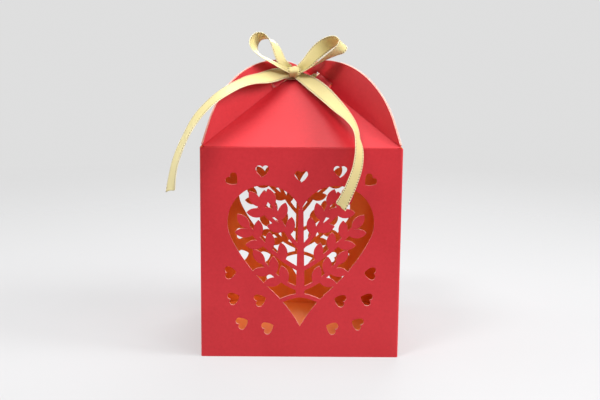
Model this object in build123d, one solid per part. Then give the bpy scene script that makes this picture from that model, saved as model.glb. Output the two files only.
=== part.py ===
from build123d import *
import math
import os

# A folded card favour box with heart cut-outs, closed by four roof flaps and tied with a ribbon bow.
# Millimetres, +Z up. The table is at Z = 0, the box stands on the Z axis and its front faces -Y.

# Card and walls
box_width = 76.0
box_height = 81.0
card = 0.4
corner_radius = 0.8

# Base and the glued seam
base_clear = 0.2
side_lap = 30.0
front_lap = 33.0
glue_tab_width = 13.5
glue_tab_bevel = 5.0
glue_tab_inset = 2.0

# Heart window in each wall. Its pattern is measured from the wall's middle line and from the lobes' level,
# and grows with the wall between the margins that it keeps.
pattern_top_margin = 6.6
pattern_foot_margin = 8.2
window_lobe_radius = 14.2
window_lobe_overlap = 0.7
window_tip_drop = 40.5
window_waist = (11.3, -26.0)
lobe_end_angle = 27.0

# Fretwork that fills the window: a stem, arched boughs and leaves. Each bough has its foot, middle and end,
# then its leaves: share of the way along and which hand they stand on, 0 for the leaf at the end.
stem_foot_width = 3.4
stem_top_width = 1.9
stem_foot = -29.0
bough_width = 1.6
leaf_length = 7.2
leaf_width = 3.6
leaf_spread = 44.0
fret_overlap = 0.8
boughs = [
    (((0.0, -28.2), (4.6, -29.2), (9.8, -32.0)), []),
    (((0.0, -26.0), (7.4, -22.2), (13.6, -16.2)),
     [(0.34, 1), (0.46, -1), (0.68, 1), (0.77, -1), (1.0, 0)]),
    (((0.0, -18.4), (10.0, -11.8), (19.4, -2.4)),
     [(0.28, 1), (0.54, 1), (0.67, -1), (0.80, 1), (0.90, -1), (1.0, 0)]),
    (((0.0, -10.2), (6.0, -2.6), (10.2, 6.2)),
     [(0.36, 1), (0.48, -1), (0.70, 1), (0.80, -1), (1.0, 0)]),
    (((6.0, -2.6), (11.2, 1.2), (15.4, 6.0)),
     [(0.74, -1), (0.90, 1), (1.0, 0)]),
]

# Small hearts cut round the window: distance from the middle line, rise above the lobes' level, tilt
small_lobe_radius = 1.3
small_lobe_offset = 1.2
small_tip_drop = 3.1
middle_heart_rise = 18.5
side_hearts = [
    (14.6, 20.4, 0.0),
    (26.3, 16.85, -45.0),
    (27.4, -19.5, -95.0),
    (26.1, -29.75, -110.0),
    (16.0, -30.4, -110.0),
    (22.8, -39.6, -115.0),
    (13.0, -41.4, -115.0),
]

# Roof
roof_rise = 29.5
fin_gap = 0.2
crease_clear = 0.1
corner_trim = 1.2
apex_trim = 1.2

# Ribbon, its slots and the tongues of card pushed out of them
ribbon_width = 6.0
ribbon_thickness = 0.3
neck_drop = 9.8
neck_lift = 1.0
slot_clear = 0.6
slot_foot_slack = 1.9
slot_depth = 3.2
tongue_inset = 0.5
tongue_length = 7.6
tongue_reach = 2.6
tongue_angle = 40.0
tongue_clear = 0.05

# Bow
knot_width = 4.8
knot_length = 3.8
knot_depth = 3.8
knot_aside = -2.8
knot_above_neck = 2.9
knot_round = 1.2
knot_clear = 0.05
stations_per_run = 3

# Bow routes, from the knot outwards: point, direction across the ribbon, width there
left_loop_route = [
    ((-4.6, -7.9, 109.6), (0.75, 0.60, 0.10), 3.2),
    ((-7.2, -10.7, 111.1), (0.70, 0.68, 0.10), 4.4),
    ((-8.7, -11.5, 114.5), (0.62, 0.76, 0.00), 5.4),
    ((-10.3, -11.9, 118.4), (0.53, 0.82, -0.15), 6.0),
    ((-12.5, -12.4, 121.1), (0.50, 0.80, -0.33), 6.0),
    ((-15.3, -13.0, 122.3), (0.50, 0.80, -0.33), 6.0),
    ((-17.8, -14.0, 121.6), (0.50, 0.80, -0.33), 6.0),
    ((-19.1, -16.0, 119.3), (0.50, 0.80, -0.33), 6.0),
    ((-18.6, -18.6, 116.9), (0.46, 0.84, -0.30), 5.8),
    ((-16.2, -19.8, 114.8), (0.40, 0.87, -0.15), 5.0),
    ((-13.2, -18.2, 113.2), (0.30, 0.90, 0.00), 4.2),
    ((-9.6, -14.6, 111.4), (0.20, 0.86, 0.20), 3.4),
    ((-4.7, -9.0, 108.7), (0.10, 0.80, 0.50), 2.6),
]
right_loop_route = [
    ((-1.2, -8.0, 109.2), (0.66, 0.10, -0.60), 3.4),
    ((1.8, -9.4, 111.7), (0.60, -0.50, -0.62), 5.0),
    ((4.5, -10.2, 115.1), (0.60, -0.50, -0.62), 6.0),
    ((7.6, -11.0, 118.0), (0.64, -0.25, -0.66), 6.0),
    ((11.1, -12.2, 120.4), (0.58, 0.40, -0.58), 6.0),
    ((14.1, -14.0, 121.4), (0.48, 0.66, -0.46), 6.0),
    ((16.2, -16.6, 120.0), (0.55, 0.72, -0.40), 6.0),
    ((15.1, -18.6, 117.9), (0.60, 0.70, -0.30), 6.0),
    ((12.1, -18.4, 116.0), (0.60, 0.72, -0.10), 5.8),
    ((7.9, -16.2, 113.3), (0.60, 0.72, 0.10), 5.0),
    ((3.3, -12.7, 110.0), (0.55, 0.75, 0.30), 3.8),
    ((-0.9, -9.4, 108.2), (0.50, 0.75, 0.40), 2.8),
]
left_tail_route = [
    ((-4.6, -8.4, 107.9), (-0.07, 0.29, 0.96), 3.6),
    ((-7.2, -10.0, 108.2), (-0.31, 0.24, 0.92), 4.6),
    ((-10.6, -14.3, 107.4), (-0.54, 0.26, 0.80), 5.6),
    ((-14.6, -19.5, 106.3), (-0.65, 0.39, 0.66), 6.0),
    ((-19.8, -25.5, 105.9), (-0.73, 0.56, 0.39), 6.0),
    ((-26.3, -32.0, 103.2), (-0.74, 0.64, 0.19), 6.0),
    ((-32.1, -38.0, 99.3), (-0.70, 0.71, 0.07), 6.0),
    ((-37.3, -42.0, 94.4), (-0.57, 0.82, 0.04), 6.0),
    ((-41.5, -44.0, 87.9), (-0.45, 0.89, 0.09), 6.0),
    ((-45.2, -44.5, 79.9), (-0.41, 0.90, 0.16), 6.0),
    ((-47.5, -44.0, 72.4), (-0.50, 0.85, 0.17), 6.0),
    ((-48.4, -43.5, 65.3), (-0.61, 0.78, 0.13), 6.0),
]
right_tail_route = [
    ((-1.2, -8.6, 107.2), (0.67, 0.35, 0.65), 3.6),
    ((1.4, -11.0, 105.8), (0.69, 0.28, 0.67), 4.8),
    ((4.7, -15.0, 103.8), (0.74, 0.25, 0.62), 6.0),
    ((8.6, -20.0, 100.8), (0.80, 0.24, 0.55), 6.0),
    ((12.4, -25.5, 97.2), (0.88, 0.35, 0.32), 6.0),
    ((15.2, -30.5, 94.3), (0.89, 0.46, 0.05), 6.0),
    ((17.8, -35.2, 91.5), (0.81, 0.55, -0.21), 6.0),
    ((19.5, -39.0, 88.8), (0.62, 0.64, -0.46), 6.0),
    ((20.3, -41.5, 86.1), (0.34, 0.81, -0.47), 6.0),
    ((20.9, -43.0, 82.9), (0.50, 0.84, -0.19), 6.0),
    ((21.1, -43.6, 79.1), (0.61, 0.78, -0.10), 6.0),
    ((20.5, -43.8, 74.3), (0.65, 0.75, -0.13), 6.0),
    ((18.9, -43.4, 69.4), (0.68, 0.71, -0.18), 6.0),
    ((17.1, -43.0, 64.7), (0.72, 0.64, -0.26), 6.0),
    ((14.6, -42.5, 59.7), (0.77, 0.55, -0.33), 6.0),
]

# Sizes that follow from the ones above
wall_middle = box_width / 2 - card / 2
inside_half = box_width / 2 - card
fin_offset = card / 2 + fin_gap / 2
flap_half = wall_middle - math.sqrt(2) * fin_offset
pitch = math.degrees(math.atan2(roof_rise, wall_middle))
slope_length = flap_half / math.cos(math.radians(pitch))
arch_side = slope_length - flap_half
crease_length = math.hypot(flap_half, slope_length)
wing_fold = math.degrees(math.acos(math.sin(math.radians(pitch)) / math.sqrt(2)))
hinge_reach = card / 2 + crease_clear
neck_height = slope_length - neck_drop
pattern_top = max(rise for aside, rise, tilt in side_hearts) + small_lobe_radius
pattern_foot = min(rise for aside, rise, tilt in side_hearts) - small_tip_drop
pattern_room = box_height - pattern_top_margin - pattern_foot_margin
pattern_scale = pattern_room / (pattern_top - pattern_foot)
window_lobe_offset = window_lobe_radius - window_lobe_overlap
along_crease = crease_length / slope_length
slot_start = along_crease * (neck_height - ribbon_width / 2) - slot_foot_slack
slot_end = along_crease * (neck_height + ribbon_width / 2) + slot_clear

sides = ["front", "right", "back", "left"]
roof_place = Location((0, -wall_middle, box_height), (pitch, 0, 0))
left_crease = Plane(
    origin=(-flap_half, 0, 0), x_dir=(flap_half, slope_length, 0), z_dir=(0, 0, 1)
).location
wing_axis = Axis((-flap_half, 0, 0), (flap_half, slope_length, 0))


def turned(shape, side):
    return shape.rotate(Axis.Z, 90 * sides.index(side))


def front_quarter(gap):
    reach = box_width
    inset = gap / math.sqrt(2)
    plan = Polygon((0, -inset), (-reach, -reach - inset), (reach, -reach - inset), align=None)
    return plan


# Flat shapes

def heart_face(lobe_radius, lobe_offset, tip_drop, waist=None):
    cleft = (0, math.sqrt(lobe_radius**2 - lobe_offset**2))
    top = (lobe_offset, lobe_radius)
    end_angle = math.radians(lobe_end_angle)
    lobe_end = (lobe_offset + lobe_radius * math.cos(end_angle), -lobe_radius * math.sin(end_angle))
    heading = (-math.sin(end_angle), -math.cos(end_angle))
    lobe = ThreePointArc(cleft, top, lobe_end)
    tip = (0, -tip_drop)
    if waist is None:
        flank = TangentArc(lobe_end, tip, tangent=heading)
    else:
        upper_flank = TangentArc(lobe_end, waist, tangent=heading)
        flank = upper_flank + TangentArc(waist, tip, tangent=upper_flank % 1)
    right_half = make_face(lobe + flank + Line(tip, cleft))
    return right_half + mirror(right_half, about=Plane.YZ)


def leaf_face():
    upper = ThreePointArc((0, 0), (leaf_length / 2, leaf_width / 2), (leaf_length, 0))
    lower = ThreePointArc((leaf_length, 0), (leaf_length / 2, -leaf_width / 2), (0, 0))
    return make_face(upper + lower)


def leafy_bough(points, leaf_places):
    line = ThreePointArc(*points)
    bough = Sketch() + SlotArc(line, bough_width)
    for share, hand in leaf_places:
        root = line @ share
        heading = line % share
        angle = math.degrees(math.atan2(heading.Y, heading.X)) + hand * leaf_spread
        bough += Pos(root.X, root.Y) * Rot(0, 0, angle) * leaf_face()
    return bough


def fretwork():
    head = math.sqrt(window_lobe_radius**2 - window_lobe_offset**2) + fret_overlap
    stem = Polygon(
        (-stem_foot_width / 2, stem_foot), (stem_foot_width / 2, stem_foot),
        (stem_top_width / 2, head), (-stem_top_width / 2, head), align=None)
    right_half = Sketch()
    for points, leaf_places in boughs:
        right_half += leafy_bough(points, leaf_places)
    return stem + right_half + mirror(right_half, about=Plane.YZ)


def cut_outs():
    window = heart_face(window_lobe_radius, window_lobe_offset, window_tip_drop, window_waist)
    openings = window - fretwork()
    small = heart_face(small_lobe_radius, small_lobe_offset, small_tip_drop)
    openings += Pos(0, middle_heart_rise) * small
    for aside, rise, tilt in side_hearts:
        openings += Pos(aside, rise) * Rot(0, 0, tilt) * small
        openings += Pos(-aside, rise) * Rot(0, 0, -tilt) * small
    level = pattern_foot_margin - pattern_scale * pattern_foot
    return Pos(0, level) * scale(openings, by=pattern_scale)


# Walls, base and seam

def front_wall():
    ring = RectangleRounded(box_width, box_width, corner_radius)
    ring -= RectangleRounded(box_width - 2 * card, box_width - 2 * card, corner_radius - card)
    wall = extrude(ring & front_quarter(0), box_height)
    bead_length = 2 * (flap_half - corner_trim)
    bead = Pos(0, -wall_middle, box_height) * Rot(0, 90, 0) * Cylinder(card / 2, bead_length)
    cutter = extrude(Plane.XZ.offset(inside_half - card) * cut_outs(), amount=3 * card)
    return wall + bead - cutter


def base_sheet(x_low, x_high, y_low, y_high, layer):
    sheet = Box(x_high - x_low, y_high - y_low, card, align=(Align.MIN, Align.MIN, Align.MIN))
    return Pos(x_low, y_low, layer * card) * sheet


def glue_tab():
    low = 3 * card + glue_tab_inset
    high = box_height - glue_tab_inset
    outer = inside_half - (corner_radius - card) - base_clear
    inner = outer - glue_tab_width
    outline = Polygon(
        (outer, low), (outer, high), (inner, high - glue_tab_bevel), (inner, low + glue_tab_bevel), align=None)
    return extrude(Plane.XZ.offset(-inside_half) * outline, amount=card)


# Roof: flap, wing and tongue are drawn flat, with the flap's foot crease along X, then folded

def flap_width_at(height):
    return flap_half * (1 - height / slope_length)


def flat_flap():
    top = slope_length - apex_trim
    low_half = flap_width_at(hinge_reach)
    top_half = flap_width_at(top)
    outline = Polygon(
        (-low_half, hinge_reach), (low_half, hinge_reach), (top_half, top), (-top_half, top), align=None)
    plate = extrude(outline, card / 2, both=True)
    bead_end = crease_length * top / slope_length
    bead_middle = (corner_trim + bead_end) / 2
    bead = left_crease * Pos(bead_middle, 0, 0) * Rot(0, 90, 0) * Cylinder(card / 2, bead_end - corner_trim)
    return plate + bead + mirror(bead, about=Plane.YZ)


def flat_wing():
    lobe = Pos(0, arch_side) * Circle(flap_half) + Pos(0, arch_side / 2) * Rectangle(2 * flap_half, arch_side)
    kept_length = crease_length - corner_trim - apex_trim
    kept = Pos(corner_trim + kept_length / 2, hinge_reach + flap_half / 2) * Rectangle(kept_length, flap_half)
    slot = Pos((slot_start + slot_end) / 2, slot_depth / 2) * Rectangle(slot_end - slot_start, slot_depth)
    outline = lobe & (left_crease * (kept - slot))
    return extrude(outline, card / 2, both=True)


def flat_tongue():
    start = slot_start + tongue_inset
    root = slot_depth - card / 2 - tongue_clear
    plate = Pos(tongue_length / 2, -tongue_reach / 2, 0) * Box(tongue_length, tongue_reach, card)
    bead = Pos(tongue_length / 2, 0, 0) * Rot(0, 90, 0) * Cylinder(card / 2, tongue_length)
    tongue = Rot(-tongue_angle, 0, 0) * (plate + bead)
    return left_crease * Pos(start, root, 0) * tongue


def neck_ribbon():
    strip = Pos(0, neck_height, neck_lift) * Box(2 * flap_half, ribbon_width, ribbon_thickness)
    quarter = extrude(front_quarter(fin_gap), box_height + 2 * roof_rise)
    return roof_place * strip & quarter


# Bow

def knot():
    block = fillet(Box(knot_width, knot_length, knot_depth).edges(), knot_round)
    seat = neck_lift + ribbon_thickness / 2 + knot_clear
    return roof_place * Pos(knot_aside, neck_height + knot_above_neck, seat + knot_depth / 2) * block


def bend_radii(points):
    radii = []
    for before, here, after in zip(points, points[1:], points[2:]):
        run_in = here - before
        run_out = after - here
        turn = math.radians(run_in.get_angle(run_out))
        radii.append(0.45 * min(run_in.length, run_out.length) / math.tan(turn / 2))
    return radii


def blend(low, high, share):
    return low * (1 - share) + high * share


def ribbon(name, route):
    points = [Vector(*point) for point, across, width in route]
    radii = bend_radii(points)
    line = FilletPolyline(*points, radius=radii)
    steps = stations_per_run * (len(route) - 1)
    sections = []
    for step in range(steps + 1):
        run = min(step // stations_per_run, len(route) - 2)
        share = step / stations_per_run - run
        across = blend(Vector(*route[run][1]), Vector(*route[run + 1][1]), share)
        width = blend(route[run][2], route[run + 1][2], share)
        station = Plane(origin=line @ (step / steps), x_dir=across, z_dir=line % (step / steps))
        sections.append(station * Rectangle(width, ribbon_thickness))
    strip = loft(sections, ruled=True)
    mean_width = sum(width for point, across, width in route) / len(route)
    print(name, "length", round(line.length, 1), "least bend radius", round(min(radii), 1))
    print(name, "volume", round(strip.volume, 1), "section by length",
          round(mean_width * ribbon_thickness * line.length, 1))
    return strip


# Whole box

def build():
    nodes = {}
    wall = front_wall()
    for side in sides:
        nodes[side + "_wall"] = turned(wall, side)
    nodes["glue_tab"] = glue_tab()
    base_half = inside_half - base_clear
    nodes["base_panel"] = base_sheet(-base_half, base_half, -base_half, base_half, 0)
    nodes["left_base_flap"] = base_sheet(-base_half, side_lap - base_half, -base_half, base_half, 1)
    nodes["right_base_flap"] = base_sheet(base_half - side_lap, base_half, -base_half, base_half, 1)
    nodes["front_base_flap"] = base_sheet(-base_half, base_half, -base_half, front_lap - base_half, 2)

    flap = roof_place * flat_flap()
    flat_left_wing = flat_wing()
    flat_left_tongue = flat_tongue()
    left_wing = flat_left_wing.rotate(wing_axis, wing_fold)
    left_tongue = flat_left_tongue.rotate(wing_axis, wing_fold)
    neck = neck_ribbon()
    for side in sides:
        nodes[side + "_flap"] = turned(flap, side)
        nodes[side + "_flap_left_wing"] = turned(roof_place * left_wing, side)
        nodes[side + "_flap_right_wing"] = turned(roof_place * mirror(left_wing, about=Plane.YZ), side)
        nodes[side + "_flap_left_slot_tongue"] = turned(roof_place * left_tongue, side)
        nodes[side + "_flap_right_slot_tongue"] = turned(roof_place * mirror(left_tongue, about=Plane.YZ), side)
        nodes[side + "_neck_ribbon"] = turned(neck, side)

    nodes["bow_knot"] = knot()
    nodes["bow_left_loop"] = ribbon("bow_left_loop", left_loop_route)
    nodes["bow_right_loop"] = ribbon("bow_right_loop", right_loop_route)
    nodes["bow_left_tail"] = ribbon("bow_left_tail", left_tail_route)
    nodes["bow_right_tail"] = ribbon("bow_right_tail", right_tail_route)
    return nodes


os.makedirs("parts", exist_ok=True)
for node_name, solid in build().items():
    export_step(solid, "parts/" + node_name + ".step")
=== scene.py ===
import math
import random
from collections import namedtuple
import bpy
import bmesh
from mathutils import Matrix, Vector


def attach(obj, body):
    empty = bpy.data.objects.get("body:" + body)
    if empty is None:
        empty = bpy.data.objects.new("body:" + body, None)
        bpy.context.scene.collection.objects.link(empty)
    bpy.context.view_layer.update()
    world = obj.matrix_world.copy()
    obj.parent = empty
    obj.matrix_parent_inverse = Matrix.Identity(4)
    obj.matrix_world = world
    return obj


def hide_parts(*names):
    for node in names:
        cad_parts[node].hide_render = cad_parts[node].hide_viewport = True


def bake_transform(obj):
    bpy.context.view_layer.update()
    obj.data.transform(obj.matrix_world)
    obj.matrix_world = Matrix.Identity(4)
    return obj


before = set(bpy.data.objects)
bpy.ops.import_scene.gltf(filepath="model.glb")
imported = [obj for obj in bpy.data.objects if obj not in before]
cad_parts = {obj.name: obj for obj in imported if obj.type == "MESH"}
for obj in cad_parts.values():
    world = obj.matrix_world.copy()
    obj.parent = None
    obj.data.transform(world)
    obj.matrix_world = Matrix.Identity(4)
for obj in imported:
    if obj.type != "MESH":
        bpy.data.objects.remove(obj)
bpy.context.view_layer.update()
scene = bpy.context.scene
mm = 0.001
sides = ("front", "right", "back", "left")     # each a quarter turn on from the last


# camera, level with the roof and looking slightly down

cameraSet = {
    "place": (-0.00417, -0.3720, 0.1158),
    "yaw": 0.645,              # degrees to the right
    "pitch": 9.242,            # degrees down
    "roll": 0.5735,
    "lens": 54.0,
    "sensor": 36.0,
    "nearest": 0.01,
    "farthest": 20,
}


def addCamera(look):
    yaw, pitch, roll = (math.radians(look[key]) for key in ("yaw", "pitch", "roll"))
    forward = Vector((math.sin(yaw) * math.cos(pitch), math.cos(yaw) * math.cos(pitch), -math.sin(pitch)))
    level = Vector((math.cos(yaw), -math.sin(yaw), 0))
    upright = level.cross(forward)
    right = level * math.cos(roll) + upright * math.sin(roll)
    up = upright * math.cos(roll) - level * math.sin(roll)
    data = bpy.data.cameras.new("photoCamera")
    data.lens = look["lens"]
    data.sensor_width = look["sensor"]
    data.clip_start = look["nearest"]
    data.clip_end = look["farthest"]
    camera = bpy.data.objects.new("photoCamera", data)
    turn = Matrix((right, up, -forward)).transposed().to_4x4()
    camera.matrix_world = Matrix.Translation(look["place"]) @ turn
    scene.collection.objects.link(camera)
    scene.camera = camera


addCamera(cameraSet)
print("camera set")


# node helpers

def newMaterial(name):
    material = bpy.data.materials.new(name)
    material.use_nodes = True
    tree = material.node_tree
    return material, tree, tree.nodes["Principled BSDF"]


def addNode(tree, kind, **settings):
    node = tree.nodes.new(kind)
    for key, value in settings.items():
        setattr(node, key, value)
    return node


def feed(tree, socket, value):
    if isinstance(value, bpy.types.NodeSocket):
        tree.links.new(value, socket)
    else:
        socket.default_value = value


def noiseOf(tree, vector, scale, detail=2.0, rough=0.5):
    noise = addNode(tree, "ShaderNodeTexNoise")
    for key, value in (("Vector", vector), ("Scale", scale), ("Detail", detail), ("Roughness", rough)):
        feed(tree, noise.inputs[key], value)
    return noise.outputs["Fac"]


def spread(tree, value, low, high, toLow=0.0, toHigh=1.0):
    ranger = addNode(tree, "ShaderNodeMapRange")
    keys = ("Value", "From Min", "From Max", "To Min", "To Max")
    for key, number in zip(keys, (value, low, high, toLow, toHigh)):
        feed(tree, ranger.inputs[key], number)
    return ranger.outputs["Result"]


def colourBetween(tree, factor, first, second):
    mix = addNode(tree, "ShaderNodeMix", data_type="RGBA")
    feed(tree, mix.inputs["Factor"], factor)
    for socket, colour in ((mix.inputs[6], first), (mix.inputs[7], second)):     # its two colour sockets
        feed(tree, socket, (*colour, 1) if isinstance(colour, tuple) else colour)
    return mix.outputs[2]


def sums(tree, operation, first, second=0.0):
    step = addNode(tree, "ShaderNodeMath", operation=operation)
    for socket, value in zip(step.inputs, (first, second)):
        feed(tree, socket, value)
    return step.outputs[0]


def sharesOf(tree, shares, first, second):
    parts = [sums(tree, "MULTIPLY", value, share) for value, share in zip((first, second), shares)]
    return sums(tree, "ADD", *parts)


def bumpFrom(tree, shader, height, strength, distance):
    bump = addNode(tree, "ShaderNodeBump")
    for key, value in (("Strength", strength), ("Distance", distance), ("Height", height)):
        feed(tree, bump.inputs[key], value)
    feed(tree, shader.inputs["Normal"], bump.outputs["Normal"])


def mixShaders(tree, share, first, second):
    mix = addNode(tree, "ShaderNodeMixShader")
    for socket, output in zip(mix.inputs, (share, first, second)):
        feed(tree, socket, output)
    return mix.outputs[0]


# roof: four flaps of one pitch

roofSet = {
    "rise": 29.5,              # mm from the creases up to the peak
    "run": 37.8,               # mm from a crease in to the peak
    "creaseHeight": 81.0,
}
roofPitch = math.atan2(roofSet["rise"], roofSet["run"])


def quarterTurn(quarter):
    return Matrix.Rotation(quarter * math.pi / 2, 3, "Z")


def roofOutwards(turn):
    return turn @ Vector((0, -math.sin(roofPitch), math.cos(roofPitch)))


# card: red outside, orange inside, pale where it is cut

cardSet = {
    "cloudScale": 28.0,
    "fibreScale": 900.0,
    "toothScale": 5200.0,
    "fibreRoughness": 0.6,
    "mottle": (0.55, 0.45),    # shares of the clouds and the fibres
    "mottleRange": (0.36, 0.64),
    "fibreRange": (0.35, 0.65),
    "relief": (0.6, 0.4),      # shares of the fibres and the tooth
    "reliefDepth": 0.00006,
    "specular": 0.4,
    "edgeLimit": 0.6,          # a face that looks less than this outwards or inwards is a cut edge
    "tongueLimit": 0.5,
    "wallCrease": 0.0808,      # m, above it a wall bends over into its flap
    "wingCrease": -0.3,        # an edge that looks further down than this bends into the flap
}
redSet = {
    "colours": ((0.50, 0.012, 0.020), (0.58, 0.020, 0.030)),
    "roughness": (0.42, 0.50),
    "tooth": 0.10,
}
orangeSet = {
    "colours": ((0.92, 0.25, 0.040), (0.97, 0.31, 0.055)),
    "roughness": (0.58, 0.68),
    "tooth": 0.12,
}
coreSet = {
    "colours": ((0.74, 0.34, 0.29), (0.88, 0.56, 0.48)),
    "roughness": 0.85,
    "tooth": 0.5,
    "fibreScale": 1500.0,
    "reliefDepth": 0.00008,
}


def cardFace(name, side):
    material, tree, shader = newMaterial(name)
    place = addNode(tree, "ShaderNodeTexCoord").outputs["Object"]
    clouds = noiseOf(tree, place, cardSet["cloudScale"], detail=3)
    fibres = noiseOf(tree, place, cardSet["fibreScale"], detail=4, rough=cardSet["fibreRoughness"])
    tooth = noiseOf(tree, place, cardSet["toothScale"])
    mottled = spread(tree, sharesOf(tree, cardSet["mottle"], clouds, fibres), *cardSet["mottleRange"])
    feed(tree, shader.inputs["Base Color"], colourBetween(tree, mottled, *side["colours"]))
    feed(tree, shader.inputs["Roughness"], spread(tree, fibres, *cardSet["fibreRange"], *side["roughness"]))
    shader.inputs["Specular IOR Level"].default_value = cardSet["specular"]
    height = sharesOf(tree, cardSet["relief"], fibres, tooth)
    bumpFrom(tree, shader, height, side["tooth"], cardSet["reliefDepth"])
    return material


def cutEdge(name, core):
    material, tree, shader = newMaterial(name)
    place = addNode(tree, "ShaderNodeTexCoord").outputs["Object"]
    fibres = noiseOf(tree, place, core["fibreScale"], detail=3, rough=cardSet["fibreRoughness"])
    mottled = spread(tree, fibres, *cardSet["fibreRange"])
    feed(tree, shader.inputs["Base Color"], colourBetween(tree, mottled, *core["colours"]))
    shader.inputs["Roughness"].default_value = core["roughness"]
    bumpFrom(tree, shader, fibres, core["tooth"], core["reliefDepth"])
    return material


cardFinishes = (cardFace("cardRed", redSet), cardFace("cardOrange", orangeSet), cutEdge("cardCore", coreSet))
redFace, orangeFace, cutFace = range(len(cardFinishes))


def neverBent(face):
    return False


def wallBent(face):
    return face.center.z > cardSet["wallCrease"]


def flapBent(face):            # each edge of a flap is a crease
    return True


def wingBent(face):
    return face.normal.z < cardSet["wingCrease"]


def dressCard(node, outside, isBent=neverBent, edgeLimit=cardSet["edgeLimit"]):
    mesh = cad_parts[node].data
    mesh.materials.clear()
    for finish in cardFinishes:
        mesh.materials.append(finish)
    for face in mesh.polygons:
        facing = face.normal.dot(outside)
        bent = isBent(face)
        limit = 0 if bent else edgeLimit
        if facing > limit:
            face.material_index = redFace
        elif facing < -limit:
            face.material_index = orangeFace
        else:
            face.material_index = redFace if bent else cutFace


for quarter, side in enumerate(sides):
    turn = quarterTurn(quarter)
    dressCard(side + "_wall", turn @ Vector((0, -1, 0)), wallBent)
    dressCard(side + "_flap", roofOutwards(turn), flapBent)
    for hand, across in (("left", 1), ("right", -1)):
        outside = turn @ Vector((across, -1, 0)).normalized()
        dressCard(side + "_flap_" + hand + "_wing", outside, wingBent)
        dressCard(side + "_flap_" + hand + "_slot_tongue", outside, edgeLimit=cardSet["tongueLimit"])
for node in ("base_panel", "left_base_flap", "right_base_flap", "front_base_flap"):
    dressCard(node, Vector((0, 0, -1)))
dressCard("glue_tab", Vector((0, 1, 0)))
print("card dressed")


# gold satin, with a row of sunk stitch dots inside each edge, their dark brown being painted shade

satinSet = {
    "lit": (0.71, 0.62, 0.285),
    "deep": (0.60, 0.50, 0.20),
    "streakStretch": (0.35, 5.0, 1.0),
    "streakScale": 2.2,
    "streakRange": (0.3, 0.7),
    "roughness": (0.34, 0.46),
    "selvedge": (0.80, 0.72, 0.44),
    "selvedgeFade": (0.35, 0.55),      # mm from the edge
    # painted shade: the dark brown of the stitch dots stands in for the shade in them
    "stitchShade": (0.15, 0.080, 0.022),
    "stitchPitch": 1.0,                # mm along the edge
    "stitchInset": 0.42,               # mm from the edge
    "stitchSquash": 0.8,               # across against along
    "stitchFade": (0.27, 0.36),
    "stitchSink": 1.5,                 # against the weft's height
    "weftScale": 2.6,
    "weftWander": 0.6,
    "reliefStrength": 0.25,
    "reliefDepth": 0.00006,
    "specular": 0.45,
    "sheen": 0.15,
    "sheenRoughness": 0.4,
}


def satinRibbon(name, satin):
    material, tree, shader = newMaterial(name)
    uv = addNode(tree, "ShaderNodeUVMap", uv_map="ribbonMap").outputs["UV"]
    edge = addNode(tree, "ShaderNodeAttribute", attribute_name="fromEdge").outputs["Fac"]
    parts = addNode(tree, "ShaderNodeSeparateXYZ")
    feed(tree, parts.inputs[0], uv)

    stretch = addNode(tree, "ShaderNodeMapping")
    stretch.inputs["Scale"].default_value = satin["streakStretch"]
    feed(tree, stretch.inputs["Vector"], uv)
    streaks = noiseOf(tree, stretch.outputs["Vector"], satin["streakScale"], detail=3)
    body = colourBetween(tree, spread(tree, streaks, *satin["streakRange"]), satin["deep"], satin["lit"])
    selvedge = spread(tree, edge, *satin["selvedgeFade"], 1.0, 0.0)
    body = colourBetween(tree, selvedge, body, satin["selvedge"])

    beat = sums(tree, "FRACT", sums(tree, "DIVIDE", parts.outputs["X"], satin["stitchPitch"]))
    dotAlong = sums(tree, "ABSOLUTE", sums(tree, "SUBTRACT", beat, 0.5))
    dotAcross = sums(tree, "ABSOLUTE", sums(tree, "SUBTRACT", edge, satin["stitchInset"]))
    reach = sums(tree, "ADD", dotAlong, sums(tree, "MULTIPLY", dotAcross, satin["stitchSquash"]))
    # the dots sink into the weave, and below they are coloured with painted shade
    sunkDotsAndShade = spread(tree, reach, *satin["stitchFade"], 1.0, 0.0)

    weft = addNode(tree, "ShaderNodeTexWave", wave_type="BANDS", bands_direction="X", wave_profile="SIN")
    weft.inputs["Scale"].default_value = satin["weftScale"]
    weft.inputs["Distortion"].default_value = satin["weftWander"]
    feed(tree, weft.inputs["Vector"], uv)
    height = sums(tree, "SUBTRACT", weft.outputs["Fac"], sums(tree, "MULTIPLY", sunkDotsAndShade, satin["stitchSink"]))

    feed(tree, shader.inputs["Base Color"], colourBetween(tree, sunkDotsAndShade, body, satin["stitchShade"]))
    feed(tree, shader.inputs["Roughness"], spread(tree, streaks, *satin["streakRange"], *satin["roughness"]))
    shader.inputs["Specular IOR Level"].default_value = satin["specular"]
    shader.inputs["Sheen Weight"].default_value = satin["sheen"]
    shader.inputs["Sheen Roughness"].default_value = satin["sheenRoughness"]
    bumpFrom(tree, shader, height, satin["reliefStrength"], satin["reliefDepth"])
    return material


goldSatin = satinRibbon("goldSatin", satinSet)


# ribbon: a strip that follows a route, cupped where it is flat and pleated where it is drawn in

ribbonSet = {
    "halfWidth": 0.003,
    "thickness": 0.00022,
    "stepsPerPoint": 40,
    "tooth": 0.00009,          # of the selvedge
    "pitch": 0.00075,
    "cup": 0.00018,
    "cupLevel": 0.4,
    "pleat": 0.0004,
    "pleatRate": 4.4,
    "pleatStart": 0.8,
    "ripple": 0.00006,
    "rippleRate": 420.0,
    "rippleSlant": 1.3,
    "slant": 0.0,              # of the cut end
    "fray": 0.0,
    "endReach": 0.006,         # how far back the cut pulls the weave
    "mitre": 0.0,
}
# across the ribbon: shares of its half width, closer together at the selvedge
crossShares = (-1.0, -0.94, -0.84, -0.62, -0.31, 0.0, 0.31, 0.62, 0.84, 0.94, 1.0)
ribbonRow = namedtuple("ribbonRow", "middle ahead across face halfWidth run")


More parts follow.
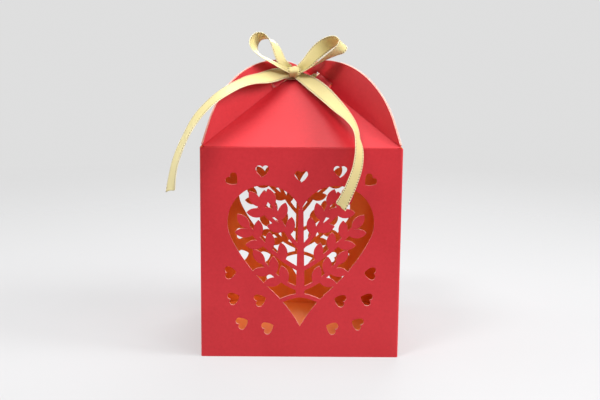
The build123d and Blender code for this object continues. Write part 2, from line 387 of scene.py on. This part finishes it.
def splinePoints(points, steps):
    curve = bpy.data.curves.new("routeLine", "CURVE")
    curve.dimensions = "3D"
    curve.resolution_u = steps
    spline = curve.splines.new("NURBS")
    spline.points.add(len(points) - 1)
    for knotPoint, point in zip(spline.points, points):
        knotPoint.co = (*point, 1)
    spline.order_u = 3
    spline.use_endpoint_u = True
    holder = bpy.data.objects.new("routeLine", curve)
    mesh = bpy.data.meshes.new_from_object(holder)
    line = [vertex.co.copy() for vertex in mesh.vertices]
    bpy.data.objects.remove(holder)
    bpy.data.curves.remove(curve)
    bpy.data.meshes.remove(mesh)
    return line


def ribbonRows(route, steps):
    centre = splinePoints([Vector(point) * mm for point, across, width in route], steps)
    rims = [Vector(point) + Vector(across).normalized() * width / 2 for point, across, width in route]
    edge = splinePoints([rim * mm for rim in rims], steps)
    rows = []
    run = 0.0
    for i, (middle, rim) in enumerate(zip(centre, edge)):
        ahead = centre[min(i + 1, len(centre) - 1)] - centre[max(i - 1, 0)]
        ahead.normalize()
        across = rim - middle
        halfWidth = across.length
        across -= ahead * across.dot(ahead)
        across.normalize()
        if i:
            run += (middle - centre[i - 1]).length
        rows.append(ribbonRow(middle, ahead, across, ahead.cross(across), halfWidth, run))
    return rows


def ribbonGrid(lengthSteps, crossSteps):
    bm = bmesh.new()
    fromEdge = bm.verts.layers.float.new("fromEdge")
    uvMap = bm.loops.layers.uv.new("ribbonMap")
    bmesh.ops.create_grid(bm, x_segments=lengthSteps, y_segments=crossSteps, size=1)
    return bm, fromEdge, uvMap


def gridShare(coordinate):     # 0 to 1 across the grid
    return (coordinate + 1) / 2


def mapRibbon(bm, uvMap, spots):
    for face in bm.faces:
        face.smooth = True
        for loop in face.loops:
            loop[uvMap].uv = spots[loop.vert]


def satinPiece(name, bm):
    mesh = bpy.data.meshes.new(name)
    bm.to_mesh(mesh)
    bm.free()
    mesh.materials.append(goldSatin)
    piece = bpy.data.objects.new(name, mesh)
    scene.collection.objects.link(piece)
    return piece


def ribbonPiece(name, rows, shape):
    bm, fromEdge, uvMap = ribbonGrid(len(rows) - 1, len(crossShares) - 1)
    dice = random.Random(shape["seed"])
    fray = [dice.uniform(-1, 1) for share in crossShares]
    total = rows[-1].run
    flatHalf = shape["halfWidth"] / mm
    spots = {}
    for vert in bm.verts:
        row = rows[round(gridShare(vert.co.x) * (len(rows) - 1))]
        column = round(gridShare(vert.co.y) * (len(crossShares) - 1))
        share = crossShares[column]
        narrowed = row.halfWidth / shape["halfWidth"]
        gather = max(0.0, 1 - narrowed)
        outwards = row.halfWidth * share
        if abs(share) == 1:
            teeth = math.cos(2 * math.pi * row.run / shape["pitch"])
            outwards += math.copysign(shape["tooth"], share) * teeth
        ripple = math.sin(row.run * shape["rippleRate"] + share * shape["rippleSlant"])
        lift = shape["cup"] * (share * share - shape["cupLevel"]) * (1 - gather)
        lift += shape["pleat"] * gather * math.sin(share * shape["pleatRate"] + shape["pleatStart"])
        lift += shape["ripple"] * ripple * (1 - gather)
        towardsEnd = max(0.0, 1 - (total - row.run) / shape["endReach"])
        slip = towardsEnd ** 2 * (shape["slant"] * share + shape["fray"] * fray[column])
        slip -= shape["mitre"] * share * (2 * row.run / total - 1) * narrowed
        vert.co = row.middle + row.across * outwards + row.face * lift + row.ahead * slip
        vert[fromEdge] = flatHalf * (1 - abs(share))
        spots[vert] = (row.run / mm, flatHalf * share)
    mapRibbon(bm, uvMap, spots)
    piece = satinPiece(name, bm)
    thick = piece.modifiers.new("thickness", "SOLIDIFY")
    thick.thickness = shape["thickness"]
    thick.offset = 0
    return piece


# bow: each route point has its place, the way across the ribbon there and its width, in mm

leftLoop = {
    "node": "bow_left_loop",
    "length": 0.048,
    "route": [
        ((-4.6, -7.9, 109.6), (0.75, 0.60, 0.10), 3.2),
        ((-7.2, -10.7, 111.1), (0.70, 0.68, 0.10), 4.4),
        ((-8.7, -11.5, 114.5), (0.62, 0.76, 0.00), 5.4),
        ((-10.3, -11.9, 118.4), (0.53, 0.82, -0.15), 6.0),
        ((-12.5, -12.4, 121.1), (0.50, 0.80, -0.33), 6.0),
        ((-15.3, -13.0, 122.3), (0.50, 0.80, -0.33), 6.0),
        ((-17.8, -14.0, 121.6), (0.50, 0.80, -0.33), 6.0),
        ((-19.1, -16.0, 119.3), (0.50, 0.80, -0.33), 6.0),
        ((-18.6, -18.6, 116.9), (0.46, 0.84, -0.30), 5.8),
        ((-16.2, -19.8, 114.8), (0.40, 0.87, -0.15), 5.0),
        ((-13.2, -18.2, 113.2), (0.30, 0.90, 0.00), 4.2),
        ((-9.6, -14.6, 111.4), (0.20, 0.86, 0.20), 3.4),
        ((-4.7, -9.0, 108.7), (0.10, 0.80, 0.50), 2.6),
    ],
    "seed": 11,
}
rightLoop = {
    "node": "bow_right_loop",
    "length": 0.0475,
    "route": [
        ((-1.2, -8.0, 109.2), (0.66, 0.10, -0.60), 3.4),
        ((1.8, -9.4, 111.7), (0.60, -0.50, -0.62), 5.0),
        ((4.5, -10.2, 115.1), (0.60, -0.50, -0.62), 6.0),
        ((7.6, -11.0, 118.0), (0.64, -0.25, -0.66), 6.0),
        ((11.1, -12.2, 120.4), (0.58, 0.40, -0.58), 6.0),
        ((14.1, -14.0, 121.4), (0.48, 0.66, -0.46), 6.0),
        ((16.2, -16.6, 120.0), (0.55, 0.72, -0.40), 6.0),
        ((15.1, -18.6, 117.9), (0.60, 0.70, -0.30), 6.0),
        ((12.1, -18.4, 116.0), (0.60, 0.72, -0.10), 5.8),
        ((7.9, -16.2, 113.3), (0.60, 0.72, 0.10), 5.0),
        ((3.3, -12.7, 110.0), (0.55, 0.75, 0.30), 3.8),
        ((-0.9, -9.4, 108.2), (0.50, 0.75, 0.40), 2.8),
    ],
    "seed": 12,
}
leftTail = {
    "node": "bow_left_tail",
    "length": 0.0805,
    "route": [
        ((-4.6, -8.4, 107.9), (-0.07, 0.29, 0.96), 3.6),
        ((-7.2, -10.0, 108.2), (-0.31, 0.24, 0.92), 4.6),
        ((-10.6, -14.3, 107.4), (-0.54, 0.26, 0.80), 5.6),
        ((-14.6, -19.5, 106.3), (-0.65, 0.39, 0.66), 6.0),
        ((-19.8, -25.5, 105.9), (-0.73, 0.56, 0.39), 6.0),
        ((-26.3, -32.0, 103.2), (-0.74, 0.64, 0.19), 6.0),
        ((-32.1, -38.0, 99.3), (-0.70, 0.71, 0.07), 6.0),
        ((-37.3, -42.0, 94.4), (-0.57, 0.82, 0.04), 6.0),
        ((-41.5, -44.0, 87.9), (-0.45, 0.89, 0.09), 6.0),
        ((-45.2, -44.5, 79.9), (-0.41, 0.90, 0.16), 6.0),
        ((-47.5, -44.0, 72.4), (-0.50, 0.85, 0.17), 6.0),
        ((-48.4, -43.5, 65.3), (-0.61, 0.78, 0.13), 6.0),
    ],
    "slant": 0.0012,
    "fray": 0.00022,
    "turns": (0.62, 0.98),     # shares of its length between which it leaves the flap for the box
    "seed": 13,
}
rightTail = {
    "node": "bow_right_tail",
    "length": 0.0725,
    "route": [
        ((-1.2, -8.6, 107.2), (0.67, 0.35, 0.65), 3.6),
        ((1.4, -11.0, 105.8), (0.69, 0.28, 0.67), 4.8),
        ((4.7, -15.0, 103.8), (0.74, 0.25, 0.62), 6.0),
        ((8.6, -20.0, 100.8), (0.80, 0.24, 0.55), 6.0),
        ((12.4, -25.5, 97.2), (0.88, 0.35, 0.32), 6.0),
        ((15.2, -30.5, 94.3), (0.89, 0.46, 0.05), 6.0),
        ((17.8, -35.2, 91.5), (0.81, 0.55, -0.21), 6.0),
        ((19.5, -39.0, 88.8), (0.62, 0.64, -0.46), 6.0),
        ((20.3, -41.5, 86.1), (0.34, 0.81, -0.47), 6.0),
        ((20.9, -43.0, 82.9), (0.50, 0.84, -0.19), 6.0),
        ((21.1, -43.6, 79.1), (0.61, 0.78, -0.10), 6.0),
        ((20.5, -43.8, 74.3), (0.65, 0.75, -0.13), 6.0),
        ((18.9, -43.4, 69.4), (0.68, 0.71, -0.18), 6.0),
        ((17.1, -43.0, 64.7), (0.72, 0.64, -0.26), 6.0),
        ((14.6, -42.5, 59.7), (0.77, 0.55, -0.33), 6.0),
    ],
    "slant": 0.0010,
    "fray": 0.00022,
    "turns": (0.20, 0.75),
    "seed": 14,
}


def tieRibbon(name, ribbon, farEnd):
    rows = ribbonRows(ribbon["route"], ribbonSet["stepsPerPoint"])
    shape = {**ribbonSet, **{key: ribbon[key] for key in ("slant", "fray", "seed") if key in ribbon}}
    piece = ribbonPiece(name, rows, shape)
    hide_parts(ribbon["node"])
    if farEnd == "bare":
        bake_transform(piece)
    else:
        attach(piece, "front_flap")
    print(name, "length", round(rows[-1].run / mm, 1), "mm")


tieRibbon("bowLeftLoop", leftLoop, "object")
tieRibbon("bowRightLoop", rightLoop, "object")
tieRibbon("bowLeftTail", leftTail, "bare")
tieRibbon("bowRightTail", rightTail, "bare")


# knot: one turn of ribbon drawn tight round the crossing, in mm

knotSet = {
    "middle": (-2.9, -7.9, 108.45),
    "halfWidth": 2.6,
    "outRadius": 2.0,
    "upRadius": 2.0,           # up the roof
    "squareness": 3,
    "girth": 13.0,
    "around": 72,
    "broadFold": 0.10,         # folds: shares of the radius, and waves across the knot
    "broadWaves": 5.2,
    "broadSway": 1.1,
    "fineFold": 0.05,
    "fineWaves": 11,
    "fineTurns": 2,
    "waver": 0.05,             # of its width, round the knot
    "waverTurns": 2,
    "waverStart": 0.6,
    # across the knot: shares of its half width and of its radius, tucked in at both ends
    "shares": (-0.86, -0.98, -1.0, -0.94, -0.84, -0.62, -0.31, 0.0, 0.31, 0.62, 0.84, 0.94, 1.0, 0.98, 0.86),
    "depths": (0.42, 0.66, 0.84, 0.95, 0.99, 1.0, 1.0, 1.0, 1.0, 1.0, 0.99, 0.95, 0.84, 0.66, 0.42),
    "mergeWithin": 1e-7,       # m
}


def tieKnot(knot):
    bm, fromEdge, uvMap = ribbonGrid(knot["around"], len(knot["shares"]) - 1)
    turn = Matrix.Rotation(roofPitch, 3, "X")
    power = knot["squareness"]
    flatHalf = ribbonSet["halfWidth"] / mm
    spots = {}
    for vert in bm.verts:
        around = gridShare(vert.co.x)
        angle = 2 * math.pi * around
        column = round(gridShare(vert.co.y) * (len(knot["shares"]) - 1))
        across = knot["shares"][column]
        fold = knot["broadFold"] * math.sin(across * knot["broadWaves"] + knot["broadSway"] * math.sin(angle))
        fold += knot["fineFold"] * math.sin(across * knot["fineWaves"] + knot["fineTurns"] * angle)
        square = (abs(math.cos(angle)) ** power + abs(math.sin(angle)) ** power) ** (-1 / power)
        reach = knot["depths"][column] * (square + fold)
        waver = 1 + knot["waver"] * math.sin(angle * knot["waverTurns"] + knot["waverStart"])
        local = Vector((
            knot["halfWidth"] * across * waver,
            knot["upRadius"] * reach * math.sin(angle),
            knot["outRadius"] * reach * math.cos(angle)))
        vert.co = (Vector(knot["middle"]) + turn @ local) * mm
        vert[fromEdge] = flatHalf * (1 - abs(across))
        spots[vert] = (knot["girth"] * around, flatHalf * across)
    mapRibbon(bm, uvMap, spots)
    bmesh.ops.remove_doubles(bm, verts=bm.verts, dist=knot["mergeWithin"])
    bmesh.ops.recalc_face_normals(bm, faces=bm.faces)
    piece = satinPiece("bowKnot", bm)
    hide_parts("bow_knot")
    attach(piece, "front_flap")


tieKnot(knotSet)


# neck: the ribbon lies across each roof flap from slot to slot, in mm

neckSet = {
    "slope": 47.45,            # up a flap, from its crease to its tip
    "drop": 9.8,               # down the flap from its tip
    "lift": 1.0,
    "halfWidth": 3.0,
    "halfLength": 8.0,
    "mitre": 2.36,
    "sag": 0.25,
    "tilt": 22.0,              # degrees that the ends turn up in the slots
    "endLift": 0.55,
    "turnFrom": 0.55,          # shares of the half length over which they turn up
    "turnOver": 0.35,
    "rows": 60,
    "seed": 30,
}
frontNeck = {
    **neckSet,
    "knotAside": -2.8,
    "gathered": 1.5,           # off its half width at the knot
    "raised": 2.5,             # up the flap at the knot
    "gatherFrom": 2.2,         # from the knot's middle
    "gatherOver": 3.2,
}


def ramp(value, start, over):
    return min(1.0, max(0.0, (value - start) / over))


def layNeck(side, quarter, neck):
    turn = quarterTurn(quarter)
    along = turn @ Vector((1, 0, 0))
    upSlope = turn @ Vector((0, math.cos(roofPitch), math.sin(roofPitch)))
    outwards = roofOutwards(turn)
    crease = turn @ Vector((0, -roofSet["run"], roofSet["creaseHeight"]))
    crest = crease + upSlope * (neck["slope"] - neck["drop"])
    rows = []
    for i in range(neck["rows"] + 1):
        share = 2 * i / neck["rows"] - 1
        lift = neck["lift"] - neck["sag"] * share * share
        middle = crest + along * neck["halfLength"] * share + outwards * lift
        halfWidth = neck["halfWidth"]
        turnUp = ramp(abs(share), neck["turnFrom"], neck["turnOver"])
        middle += outwards * neck["endLift"] * turnUp
        lean = math.radians(neck["tilt"]) * turnUp
        across = upSlope * math.cos(lean) + outwards * math.sin(lean)
        if "gathered" in neck:
            beside = abs(neck["halfLength"] * share - neck["knotAside"])
            drawn = 1 - ramp(beside, neck["gatherFrom"], neck["gatherOver"])
            halfWidth -= neck["gathered"] * drawn
            middle += upSlope * neck["raised"] * drawn
        run = neck["halfLength"] * mm * (share + 1)
        rows.append(ribbonRow(middle * mm, along, across, along.cross(across), halfWidth * mm, run))
    shape = {**ribbonSet, "cup": 0.0, "mitre": neck["mitre"] * mm, "seed": neck["seed"] + quarter}
    piece = ribbonPiece(side + "NeckRibbon", rows, shape)
    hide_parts(side + "_neck_ribbon")
    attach(piece, side + "_flap")


for quarter, side in enumerate(sides):
    layNeck(side, quarter, frontNeck if side == "front" else neckSet)
print("ribbon tied")


# stage: pale floor that fades into the backdrop, soft lamps on all sides and overhead

stageSet = {
    "floorRadius": 1.1,
    "floorSegments": 96,
    "floorColour": (0.50, 0.50, 0.51),
    "floorDim": 0.99,          # of its colour, in faint clouds
    "cloudScale": 3.0,
    "floorRoughness": 0.9,
    "floorSpecular": 0.1,
    "floorGlow": (0.84, 0.84, 0.84),   # what the camera sees of the floor's own paleness
    "glowShare": 0.50,
    "fadeFrom": 0.12,          # m from the box
    "fadeTo": 0.55,            # share of the floor's radius
    "backdrop": (0.735, 0.735, 0.735),
    "sky": 0.10,
    "aim": (0.0, 0.0, 0.06),
    "lamps": {                 # place, size and power
        "rightLamp": ((0.60, -0.15, 0.45), 0.34, 5.1),
        "cornerLamp": ((0.40, -0.42, 0.55), 0.30, 1.6),
        "leftLamp": ((-0.30, -0.37, 0.70), 0.24, 3.3),
        "frontLamp": ((0.04, -0.24, 0.76), 0.30, 1.4),
        "topLamp": ((0.0, 0.02, 0.78), 0.40, 1.0),
        "backLamp": ((0.10, 0.55, 0.46), 0.40, 2.6),
        "sideLamp": ((-0.62, 0.06, 0.26), 0.40, 2.0),
    },
}


def lookedAt(tree):            # straight, in a shine or through something clear
    path = addNode(tree, "ShaderNodeLightPath")
    mirrored = sums(tree, "MAXIMUM", path.outputs["Is Glossy Ray"], path.outputs["Is Transmission Ray"])
    return sums(tree, "MAXIMUM", path.outputs["Is Camera Ray"], mirrored)


def floorFinish(name, stage):
    material, tree, shader = newMaterial(name)
    place = addNode(tree, "ShaderNodeTexCoord").outputs["Object"]
    clouds = noiseOf(tree, place, stage["cloudScale"])
    dim = tuple(stage["floorDim"] * channel for channel in stage["floorColour"])
    feed(tree, shader.inputs["Base Color"], colourBetween(tree, clouds, dim, stage["floorColour"]))
    shader.inputs["Roughness"].default_value = stage["floorRoughness"]
    shader.inputs["Specular IOR Level"].default_value = stage["floorSpecular"]
    glow = addNode(tree, "ShaderNodeEmission")
    glow.inputs["Color"].default_value = (*stage["floorGlow"], 1)
    glowing = sums(tree, "MULTIPLY", lookedAt(tree), stage["glowShare"])
    pale = mixShaders(tree, glowing, shader.outputs[0], glow.outputs[0])
    away = addNode(tree, "ShaderNodeVectorMath", operation="LENGTH")
    feed(tree, away.inputs[0], place)
    fade = spread(tree, away.outputs["Value"], stage["fadeFrom"], stage["fadeTo"] * stage["floorRadius"])
    clear = addNode(tree, "ShaderNodeBsdfTransparent")
    surface = mixShaders(tree, fade, pale, clear.outputs[0])
    feed(tree, tree.nodes["Material Output"].inputs["Surface"], surface)
    return material


def addFloor(stage):
    bm = bmesh.new()
    bmesh.ops.create_circle(bm, cap_ends=True, segments=stage["floorSegments"], radius=stage["floorRadius"])
    mesh = bpy.data.meshes.new("paleFloor")
    bm.to_mesh(mesh)
    bm.free()
    mesh.materials.append(floorFinish("paleFloor", stage))
    floor = bpy.data.objects.new("paleFloor", mesh)
    scene.collection.objects.link(floor)


def addSky(stage):
    world = bpy.data.worlds.new("studioSky")
    world.use_nodes = True
    tree = world.node_tree
    tree.nodes.clear()
    out = addNode(tree, "ShaderNodeOutputWorld")
    seen = addNode(tree, "ShaderNodeBackground")
    seen.inputs["Color"].default_value = (*stage["backdrop"], 1)
    lit = addNode(tree, "ShaderNodeBackground")
    lit.inputs["Color"].default_value = (1, 1, 1, 1)
    lit.inputs["Strength"].default_value = stage["sky"]
    feed(tree, out.inputs["Surface"], mixShaders(tree, lookedAt(tree), lit.outputs[0], seen.outputs[0]))
    scene.world = world


def addLamp(name, place, aim, size, power):
    data = bpy.data.lights.new(name, "AREA")
    data.shape = "DISK"
    data.size = size
    data.energy = power
    lamp = bpy.data.objects.new(name, data)
    lamp.location = place
    lamp.rotation_mode = "QUATERNION"
    lamp.rotation_quaternion = (Vector(aim) - Vector(place)).to_track_quat("-Z", "Y")
    scene.collection.objects.link(lamp)


addFloor(stageSet)
addSky(stageSet)
for lampName, (place, size, power) in stageSet["lamps"].items():
    addLamp(lampName, place, stageSet["aim"], size, power)
scene.view_settings.view_transform = "Standard"
print("stage set")
